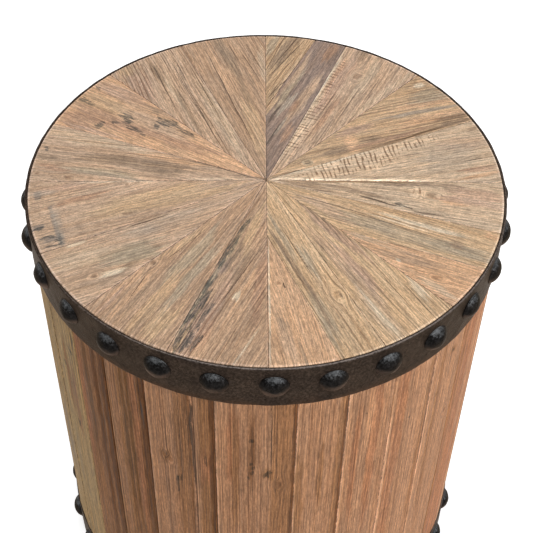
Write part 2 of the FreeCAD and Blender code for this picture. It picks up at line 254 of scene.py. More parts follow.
def reclaimed_pine():
    """Old sawn pine: growth lines, fibre, blotches, knots, stains, saw marks with painted shade in their
    grooves, cracks, and worn edges with painted highlight.
    """
    tree, given = new_tree("reclaimed_pine", "ShaderNodeTree", {
        "Grain": "Vector", "Tone": "Color", "Marks": "Color", "Grey": "Float", "Crack": "Vector",
        "Seam": "Float", "Arris": "Float", "Growth lines": "Float", "Lines per metre": "Float",
    }, {"Colour": "Color", "Roughness": "Float", "Height": "Float"})
    grain = given["Grain"]
    run, beside, below = grain.parts()
    wander = noise(grain * (5, 16, 16))
    across = wander * 0.009 + beside
    bent = wire(tree, "ShaderNodeCombineXYZ", {0: run, 1: across, 2: below})
    figure = noise(grain * (1.7, 20, 12), 2, 0.45)
    strips = noise(bent * (1.4, 36, 20), 1)
    blotch = noise(grain * (14, 40, 24), 4, 0.7)
    streaks = rise(noise(bent * (5, 360, 150), 3, 0.7), 0.34, 0.66)
    fibre = rise(noise(bent * (20, 560, 400), 2, 0.6), 0.38, 0.62)
    short_fibre = noise(bent * (110, 620, 300), 2, 0.6)
    dashes, pores = rise(short_fibre, 0.38, 0.62), rise(short_fibre, 0.6, 0.7)
    speck = noise(grain * (560, 640, 420), 3, 0.8)

    # growth lines: each darkens slowly and ends sharply, and they crowd and spread with the figure
    phase = (figure * 11.0 + across * given["Lines per metre"]).maths("FRACT")
    broken = rise(noise(bent * (9, 120, 60), 3, 0.6), 0.4, 0.62)
    line = rise(phase, 0.48, 0.9) * rise(phase, 1.0, 0.94) * broken

    # clear wood: a tone made lighter and darker by its strips, blotches, streaks and raised fibres
    light = strips * 0.24 + 0.88
    for part, depth in ((blotch, 0.36), (streaks, 0.2), (fibre, 0.4), (dashes, 0.44), (speck, 1.5)):
        light = light * (part * depth + (1 - depth / 2))
    colour = given["Tone"] * light
    warmth = rise(noise(grain * (16, 110, 40), 3), 0.4, 0.6)
    colour = lay(warmth, colour * (0.99, 1.0, 1.02), colour * (1.02, 0.99, 0.96))
    dark_wood = colour * (0.46, 0.39, 0.34)
    colour = lay(line * given["Growth lines"], colour, dark_wood)
    colour = lay(pores * 0.5, colour, dark_wood)

    # weathered grey
    ashen = wire(tree, "ShaderNodeVectorMath", {0: TONES["ash"][:3], "Scale": light}, operation="SCALE")
    colour = lay(given["Grey"] * rise(blotch, 0.2, 0.7) * 0.7, colour, ashen)

    # cross-cut saw marks: a row of short dark grooves across the grain, in pale dry wood; their darkness
    # is painted shade in the grooves
    knotty, stained, sawn = given["Marks"].parts()
    teeth = noise(grain * (55, 26, 20), 2, 0.6) * 1.7 + run * SAW_GROOVES
    skipped = rise(noise(grain * (120, 90, 40), 2, 0.6), 0.38, 0.54)
    sawn = sawn * rise(blotch + sawn, 0.6, 1.1)
    groove = sawn * rise(teeth.maths("PINGPONG", 0.5), 0.24, 0.1) * skipped
    colour = lay(sawn, colour, colour * 1.2)
    colour = lay(groove, colour, dark_wood)

    # knots: a grey-brown heart, broken at its edge, in a darker ring
    ragged = uneven(knotty, speck, 1.6)
    heart = rise(ragged, 0.65, 0.95)
    colour = lay(rise(ragged, 0.25, 0.55) * rise(ragged, 1.0, 0.7) * 0.45, colour, dark_wood)
    colour = lay(heart * 0.55, colour, dark_wood)

    # old paint and bitumen that planing has left in the low places
    flaked = stained * 0.36 + noise(grain * (90, 420, 90), 4, 0.75)
    stain = rise(flaked, 0.74, 0.79) * rise(stained, 0.05, 0.3) * (dashes * -0.35 + 1.0)
    colour = lay(stain, colour, colour * (0.28, 0.34, 0.4))

    # cracks, and seams with dirt in the joint
    off_crack, crack_width, _ = given["Crack"].parts()
    off_crack = uneven(uneven(off_crack, wander, 0.004), speck, 0.0016).maths("ABSOLUTE")
    near = off_crack.maths("DIVIDE", crack_width.maths("MAXIMUM", 1e-5))
    cracked = rise(near, 1.0, 0.3) * rise(crack_width, 1e-4, 4e-4)
    colour = lay(cracked * 0.85, colour, paint(76, 60, 48))
    dirt = rise(uneven(given["Seam"], speck, 0.0030), 0.0009, 0.0) * rise(blotch, 0.3, 0.55)
    colour = lay(dirt * 0.75, colour, paint(92, 70, 55))

    # arrises rubbed and chipped down to pale dry wood, and lighter still as a painted highlight on the
    # eased edges
    rubbed_and_highlit = rise(uneven(given["Arris"], speck, 0.0050), 0.0028, 0.0014) * rise(blotch, 0.36, 0.48)
    colour = lay(rubbed_and_highlit, colour, colour * (1.4, 1.48, 1.62))

    height = streaks * 0.25 + fibre * 0.2
    for part, depth in ((dashes, 0.2), (line, -0.4), (pores, -0.3), (heart, -0.2), (groove, -0.6),
                        (cracked, -0.9), (dirt, -0.6)):
        height = part * depth + height
    add(tree, "NodeGroupOutput", {"Colour": colour, "Roughness": spread(fibre, 0.62, 0.88),
                                  "Height": height}, is_active_output=True)
    return tree


pine_look = reclaimed_pine()


def board_finish(name, growth_lines, spacing, sheen):
    """Reclaimed pine on a board that carries its own grain, tone and marks."""
    material = new_finish(name, Specular_IOR_Level=sheen)
    sockets = {"Growth lines": growth_lines, "Lines per metre": 1000 / spacing}
    for socket, attribute, output in (("Grain", "grain", "Vector"), ("Tone", "tone", "Color"),
                                      ("Marks", "marks", "Color"), ("Grey", "marks", "Alpha"),
                                      ("Crack", "crack", "Vector"), ("Seam", "seam", "Fac"),
                                      ("Arris", "arris", "Fac")):
        sockets[socket] = wire(material.node_tree, "ShaderNodeAttribute", output=output,
                               attribute_name=attribute)
    look = add(material.node_tree, "ShaderNodeGroup", sockets, node_tree=pine_look)
    colour, roughness, height = (Wire(look, name) for name in ("Colour", "Roughness", "Height"))
    return coat(material, colour, roughness, height, relief=0.0007)


def heading(angle):
    return np.array([math.cos(math.radians(angle)), math.sin(math.radians(angle))])


def smooth(value):
    value = np.clip(value, 0, 1)
    return value * value * (3 - 2 * value)


def eased(distance, depth, width):
    """How deep a rounded edge lies at a distance from it."""
    return depth * np.clip(1 - distance / width, 0, 1) ** 2


def paint_board(points, grain, tone, marks, seed, pull=1.0):
    """The grain, tone and marks of a board at points of its face, in metres.

    A mark is a tone or a kind of mark, its place, its length and width in metres and its heading.
    The grain of a board whose pull is below 1 runs longer.
    """
    along, aside = heading(grain), heading(grain + 90)
    run, across = points @ along, points @ aside
    chance = np.random.default_rng(seed)
    ragged_along, ragged_across = 0, 0
    for waves in (260, 520, 900, 1500):
        turn_on, drift = chance.uniform(0, 6.28, 2), chance.uniform(-30, 30)
        ragged_along = ragged_along + np.sin(across * waves + run * drift + turn_on[0]) / 2
        ragged_across = ragged_across + np.sin(run * waves / 9 + turn_on[1]) / 2
    tones = np.tile(TONES[tone], (len(points), 1))
    fields = np.zeros((len(points), 4))
    cracks = np.zeros((len(points), 3))
    cracks[:, 0] = 1.0
    for kind, place, length, width, turn in marks:
        offset = points - place
        down = offset @ heading(turn) + ragged_along * min(0.2 * length, 0.010)
        over = offset @ heading(turn + 90) + ragged_across * min(0.12 * width, 0.0012)
        reach = (np.abs(2 * down / length) ** 3 + np.abs(2 * over / width) ** 3) ** (1 / 3)
        if kind == "crack":
            taper = np.sqrt(np.clip(1 - np.abs(2 * down / length), 0, 1))
            nearer = (np.abs(over) < np.abs(cracks[:, 0])) & (taper > 0)
            cracks[nearer] = np.stack([over, taper * width / 2, 0 * over], 1)[nearer]
        elif kind in FIELDS:
            fields[:, FIELDS[kind]] = np.maximum(fields[:, FIELDS[kind]], smooth(1.5 - reach))
        elif kind in SHADES:
            cover = smooth((1.5 - reach) / 1.1)[:, None]
            tones = tones * (1 + (np.array(SHADES[kind]) - 1) * cover)
        else:
            cover = 0.8 * smooth((1.3 - reach) / 0.6)[:, None]
            tones = tones * (1 - cover) + np.array(TONES[kind]) * cover
        if kind == "knot":  # the grain parts round a knot
            part = np.exp(-(offset ** 2).sum(1) / (1.2 * length) ** 2)
            across = across - np.sign(over) * part * width * 0.8 * smooth(np.abs(over) / width * 2)
    grained = np.stack([run * pull + 3.7 * seed, across + 1.3 * seed,
                        np.full(len(points), 0.61 * seed)], 1)
    return {"grain": grained, "tone": tones, "marks": fields, "crack": cracks}


def carry(mesh, **attributes):
    """Store a number, a vector or a colour for each point of a mesh."""
    for name, values in attributes.items():
        values = np.asarray(values, np.float32)
        kind, key = {1: ("FLOAT", "value"), 3: ("FLOAT_VECTOR", "vector"),
                     4: ("FLOAT_COLOR", "color")}[values.size // len(mesh.vertices)]
        mesh.attributes.new(name, kind, "POINT").data.foreach_set(key, values.ravel())


def sunk(geometry, depth):
    """A skin drawn in along its own normals by a depth."""
    normal = wire(geometry.tree, "GeometryNodeInputNormal")
    return wire(geometry.tree, "GeometryNodeSetPosition",
                {"Geometry": geometry, "Offset": normal * (depth * -1.0)})


def hand_over(geometry, material):
    """The end of a Geometry Nodes tree: everything real, and in its material."""
    real = wire(geometry.tree, "GeometryNodeRealizeInstances", {0: geometry})
    coated = wire(geometry.tree, "GeometryNodeSetMaterial", {"Geometry": real, "Material": material})
    add(geometry.tree, "NodeGroupOutput", {0: coated})


def relief_tree():
    """Sinks a board's face where its growth lines are soft or its face has been planed hollow."""
    tree, given = new_tree("board_relief", "GeometryNodeTree", {
        "Board": "Geometry", "Growth depth": 0.0003, "Hollow depth": 0.0006, "Pine": "Material",
    }, {"Board": "Geometry"})
    grain, face = (wire(tree, "GeometryNodeInputNamedAttribute", {"Name": name}, data_type=kind)
                   for name, kind in (("grain", "FLOAT_VECTOR"), ("face", "FLOAT")))
    growth = rise(noise(grain * (4, 150, 60), 1, 0.6), 0.5, 0.68)
    hollow = rise(noise(grain * (9, 22, 20)), 0.35, 0.75)
    sink = hollow * given["Hollow depth"] + growth * given["Growth depth"]
    hand_over(sunk(given["Board"], sink * face), given["Pine"])
    return tree


board_relief = relief_tree()


def new_piece(name, points, faces, material):
    mesh = bpy.data.meshes.new(name)
    mesh.from_pydata(points, [], faces)
    mesh.materials.append(material)
    mesh.polygons.foreach_set("use_smooth", [True] * len(mesh.polygons))
    piece = bpy.data.objects.new(name, mesh)
    bpy.context.scene.collection.objects.link(piece)
    return piece


def shape(piece, tree, **values):
    """Shape a piece by a Geometry Nodes tree, its inputs set by name, into a plain mesh."""
    modifier = piece.modifiers.new(tree.name, "NODES")
    modifier.node_group = tree
    for item in tree.interface.items_tree:
        if item.in_out == "INPUT" and item.name.replace(" ", "_") in values:
            modifier[item.identifier] = values[item.name.replace(" ", "_")]
    graph = bpy.context.evaluated_depsgraph_get()
    plain = bpy.data.meshes.new_from_object(piece.evaluated_get(graph), depsgraph=graph)
    plain.name = piece.name
    piece.modifiers.clear()
    piece.data = plain


def loop_faces(loops, count):
    """The faces that join closed loops of so many points, each loop to the next."""
    corner = np.arange(count)
    return [(low * count + a, low * count + b, (low + 1) * count + b, (low + 1) * count + a)
            for low in range(loops - 1) for a, b in zip(corner, np.roll(corner, -1))]


def finish_board(piece, face, seam, arris, look, node, slot, **depths):
    """Carve a board's relief, crease its edges, and let it stand for its CAD node."""
    carry(piece.data, seam=seam, arris=arris, face=face, **look)
    shape(piece, board_relief, Pine=piece.data.materials[0], **depths)
    piece.data.set_sharp_from_angle(angle=math.radians(50))
    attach(piece, "root")
    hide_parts(node)


STAVE_BACK = 0.236  # half the drum's width over the flat backs
STAVE_EDGE = 0.2536  # radius of the drum at the staves' long edges
STAVE_CROWN = 0.420  # radius of a stave's own face
REBATE = 0.2514  # radius of the rebates in which the bands sit
STAVE_FOOT, STAVE_HEAD = 0.004, 0.550
FOOT_REBATE, HEAD_REBATE = 0.0607, 0.5269  # heights between which no band covers the face
STAVE_GAP = 0.00012
STAVE_EASE = (0.0013, 0.0022)  # depth and width of the rounding of the long edges
STAVE_PULL = 0.3  # straight-grained boards: see paint_board
UNWORN = 0.02  # farther from an edge than any wear reaches
# columns of points across a stave: close together over its rounded edges, then evenly spaced
STAVE_EDGE_STEPS = np.array([0.0, 0.0005, 0.0011, 0.002, 0.0034])
STAVE_EVEN_FROM, STAVE_STEP = 0.005, 0.0016
COVERED, FADE = 0.002, 0.004  # next to the bands the face stays plain, and then gains its relief
STAVE_SEED = 29
FIRST_STAVE = 208.6
STAVE_WIDTHS = [11.6, 10.9, 11.5, 11.7, 5.1, 18.4, 11.7, 11.7, 12.1, 11.2,
                12.4, 13.9, 11.6, 14.2, 12.0, 13.3, 11.8, 14.6, 12.7, 13.1,
                12.2, 14.0, 11.9, 13.6, 12.5, 13.8, 12.1, 13.4, 11.0]

# Each stave's tone, strength of growth lines and their spacing in mm, how far its face stands
# back in mm, and its marks:
# kind, height in mm, share of the width from its middle (-1 to 1), length and width in mm.
STAVES = {
    1: ("dun_pine", 0.7, 5, 0.3, [
        ("brown_pine", 420, -0.1, 120, 8), ("brown_pine", 380, 0.35, 120, 10),
        ("crack", 470, 0.5, 120, 1.2), ("crack", 420, 0.1, 90, 0.9), ("stain", 440, -0.3, 12, 7),
        ("stain", 342, 0.2, 14, 8), ("stain", 478, 0.5, 10, 8), ("stain", 500, 0.8, 30, 6)]),
    2: ("brown_pine", 0.7, 3.5, 0.0, [
        ("grime_and_shade", 400, 0.3, 560, 8), ("grime_and_shade", 400, 0.85, 560, 12), ("red_pine", 430, -0.7, 260, 7),
        ("dark_pine", 440, -0.3, 240, 7), ("light", 300, 0.62, 200, 4)]),
    3: ("brown_pine", 0.8, 4, 0.4, [
        ("pine", 440, -0.68, 560, 11), ("grime_and_shade", 420, 0.86, 560, 13), ("dark_pine", 440, -0.15, 400, 4),
        ("dark_pine", 430, 0.12, 380, 4), ("red_pine", 430, 0.42, 400, 8), ("soot", 457, 0.78, 34, 2.5),
        ("stain", 372, 0.3, 12, 4)]),
    4: ("pine", 0.7, 4, 0.1, [
        ("grime_and_shade", 430, 0.85, 560, 4), ("brown_pine", 430, 0.5, 420, 16), ("crack", 440, 0.4, 260, 1.0),
        ("crack", 470, 0.62, 190, 0.9), ("crack", 478, 0.93, 90, 7), ("crack", 420, 0.95, 130, 3.4),
        ("brown_pine", 408, -0.25, 22, 13), ("knot", 409, -0.3, 7, 5), ("knot", 402, -0.08, 6, 4),
        ("stain", 368, 0.2, 34, 4), ("stain", 374, 0.38, 14, 3), ("crack", 430, -0.2, 160, 0.7)]),
    5: ("brown_pine", 0.7, 3.5, 0.5, [
        ("pine", 420, -0.75, 560, 5), ("red_pine", 405, 0.1, 60, 12), ("grime_and_shade", 420, 0.75, 560, 7),
        ("stain", 412, 0.1, 24, 4), ("brown_pine", 460, 0.2, 90, 9), ("crack", 400, -0.93, 300, 1.2)]),
    6: ("pine", 0.6, 4, 0.0, [
        ("grime_and_shade", 450, -0.08, 130, 6), ("brown_pine", 430, 0.72, 560, 26), ("crack", 480, 0.4, 200, 1.3),
        ("grime_and_shade", 420, 0.98, 560, 5), ("red_pine", 450, -0.55, 120, 14), ("stain", 465, -0.11, 7, 5),
        ("stain", 424, -0.11, 7, 5), ("stain", 416, -0.04, 7, 5), ("stain", 407, -0.06, 8, 6),
        ("stain", 399, -0.16, 9, 4), ("stain", 408, 0.4, 7, 7), ("stain", 401, 0.3, 9, 8),
        ("brown_pine", 404, 0.35, 18, 13), ("knot", 384, 0.62, 9, 4), ("brown_pine", 400, -0.5, 200, 8),
        ("crack", 430, 0.54, 200, 0.7)]),
    7: ("pine", 0.4, 6, 0.35, [
        ("brown_pine", 440, 0.8, 560, 8), ("brown_pine", 360, -0.8, 150, 10),
        ("grime_and_shade", 420, 0.95, 560, 4), ("brown_pine", 390, 0.1, 100, 6)]),
    8: ("pine", 0.4, 5, 0.1, [
        ("light", 470, 0.1, 90, 16), ("stain", 484, -0.2, 5, 4), ("red_pine", 420, 0.3, 300, 10),
        ("red_pine", 400, -0.5, 200, 8), ("crack", 400, 0.05, 140, 0.7)]),
    9: ("pine", 0.35, 6, 0.3, [
        ("red_pine", 420, -0.55, 560, 14), ("pine", 420, 0.4, 560, 14), ("stain", 438, 0.0, 4, 4),
        ("brown_pine", 420, 0.85, 400, 5)]),
    10: ("pine", 0.45, 5, 0.0, [
        ("brown_pine", 400, -0.4, 360, 6), ("knot", 390, 0.5, 8, 5), ("brown_pine", 505, 0.2, 12, 9),
        ("stain", 504, 0.23, 8, 5), ("crack", 500, 0.15, 60, 0.8)]),
    11: ("red_pine", 0.35, 6, 0.3, [
        ("dark_pine", 300, -0.98, 700, 4), ("brown_pine", 420, -0.6, 400, 7),
        ("pine", 400, 0.5, 260, 14)]),
    29: ("dun_pine", 0.5, 6, 0.0, [
        ("umber", 260, 0.2, 120, 12), ("knot", 350, -0.1, 14, 8)]),
}
# what a stave without marks of its own is given: kind, length and width in mm
COMMON_MARKS = (("brown_pine", 400, 12), ("red_pine", 300, 14), ("light", 400, 6), ("grime_and_shade", 500, 5),
                ("crack", 160, 0.9), ("stain", 16, 7), ("knot", 9, 6))
# rows of points up a stave: at its ends, over its rebates and up its bare face
rows_up = np.concatenate([[STAVE_FOOT], np.linspace(STAVE_FOOT + 0.0008, FOOT_REBATE - 0.0002, 12),
                          np.linspace(FOOT_REBATE, HEAD_REBATE, 186),
                          np.linspace(HEAD_REBATE + 0.0002, STAVE_HEAD - 0.0008, 6), [STAVE_HEAD]])
rng = np.random.default_rng(STAVE_SEED)
start = FIRST_STAVE
for number, width in enumerate(STAVE_WIDTHS, start=1):
    tone, lines, spacing, back, marks = STAVES.get(number, (
        str(rng.choice(["pine", "red_pine", "brown_pine", "pine"])), float(rng.uniform(0.5, 0.9)),
        float(rng.uniform(3, 7)), float(rng.uniform(0, 0.5)), []))
    if number not in STAVES:
        for kind, length, breadth in COMMON_MARKS:
            marks.append((kind, float(rng.uniform(90, 500)), float(rng.uniform(-0.9, 0.9)),
                          length * float(rng.uniform(0.7, 1.2)), breadth))
        # the darker strip down a stave's right edge is painted shade
        marks.append(("grime_and_shade", 300, 0.9, 700, float(rng.uniform(4, 12))))
    # every stave is made paler down its left edge: worn wood and a painted highlight
    marks = marks + [("light", 300, -1.0, 700, 6)]
    half = math.radians(width / 2)
    middle = math.radians(start + width / 2)
    edge_x, edge_y = STAVE_EDGE * math.cos(half), STAVE_EDGE * math.sin(half)
    even = np.linspace(STAVE_EVEN_FROM, 2 * edge_y - STAVE_EVEN_FROM, int(edge_y * 2 / STAVE_STEP))
    steps = np.concatenate([STAVE_EDGE_STEPS, even, 2 * edge_y - STAVE_EDGE_STEPS[::-1]]) - edge_y
    crown_x = edge_x - math.sqrt(STAVE_CROWN ** 2 - edge_y ** 2)
    to_edge = edge_y - np.abs(steps)
    face_x = crown_x + np.sqrt(STAVE_CROWN ** 2 - steps ** 2) - back / 1000 - eased(to_edge, *STAVE_EASE)
    face_y = steps * (1 - STAVE_GAP / edge_y)
    back_y = STAVE_BACK * math.tan(half) - STAVE_GAP
    across = np.concatenate([face_y, [back_y, -back_y]])
    loops, face_share = [], []
    for z in rows_up:
        bare = FOOT_REBATE - 1e-6 < z < HEAD_REBATE + 1e-6
        deep = face_x if bare else np.minimum(face_x, np.sqrt(REBATE ** 2 - face_y ** 2))
        out = np.concatenate([deep, [STAVE_BACK, STAVE_BACK]])
        loops.append(np.stack([out * math.cos(middle) - across * math.sin(middle),
                               out * math.sin(middle) + across * math.cos(middle),
                               np.full(len(out), z)], 1))
        open_face = (smooth((z - FOOT_REBATE - COVERED) / FADE)
                     * smooth((HEAD_REBATE - COVERED - z) / FADE))
        face_share.append(np.concatenate([open_face * smooth(to_edge / 0.002), [0, 0]]))
    corners = len(across)
    faces = loop_faces(len(rows_up), corners)
    faces.append(tuple(range(corners))[::-1])
    faces.append(tuple(range((len(rows_up) - 1) * corners, len(rows_up) * corners)))
    flat = np.concatenate([steps, [edge_y, -edge_y]])
    points = np.stack([np.tile(flat, len(rows_up)), np.repeat(rows_up, corners)], 1)
    placed = [(kind, (share * edge_y, height / 1000), length / 1000, breadth / 1000, 90)
              for kind, height, share, length, breadth in marks]
    # a stave's rubbed pale edge, wear and painted highlight, runs up its left edge only
    seam, arris = (np.tile(np.concatenate([distance, [UNWORN, UNWORN]]), len(rows_up))
                   for distance in (to_edge, (steps + edge_y) * 1.05))
    piece = new_piece("pine_stave_%02d" % number, np.concatenate(loops), faces,
                      board_finish("stave_pine_%02d" % number, lines, spacing, 0.16))
    finish_board(piece, np.concatenate(face_share), seam, arris,
                 paint_board(points, 90, tone, placed, number, STAVE_PULL),
                 "stave_%02d" % number, "staves", Hollow_depth=0.0004)
    start += width

# ---------------------------------------------------------------- top boards
# Sixteen hand-cut wedges of reclaimed boards meet in a starburst; three are glued up from two
# boards. They are planed by hand, so old saw marks, paint, cracks and grey weathering remain.

TOP_FACE = 0.584
BOARD_BACK = 0.572
TOP_RIM = 0.2514
BOARD_GAP = 0.0001
# rays of points over a board from its corner, and rows across them: close together over its
# rounded edges, and evenly spaced from so many degrees and metres inside them
BOARD_EDGE_STEPS = np.array([0.0, 0.0004, 0.0009, 0.0016, 0.0026])
EVEN_RAYS_FROM, EVEN_ROWS_FROM, FIRST_ROW = 1.1, 0.0042, 0.006
BOARD_STEP = 0.0013
BOARD_EASE = (0.0011, 0.0018)  # depth and width of the rounding of the long edges
RIM_EASE = (0.0010, 0.0016)  # and of the edge at the rim
GLUED = 0.0003  # glued joints hold less dirt than the staves' open ones
BOARD_SEED = 40
WEDGE_SEAMS = [0.5, 24.0, 46.2, 68.6, 91.0, 114.4, 136.9, 160.3,
               182.3, 206.8, 226.6, 249.0, 271.2, 297.2, 316.5, 343.0]
# A wedge of two boards: the seam that the joint leaves, its share of the radius, its heading.
WEDGE_JOINTS = {4: (91.0, 0.47, 65.5), 13: (271.2, 0.33, 294.2), 15: (316.5, 0.41, 340.3)}

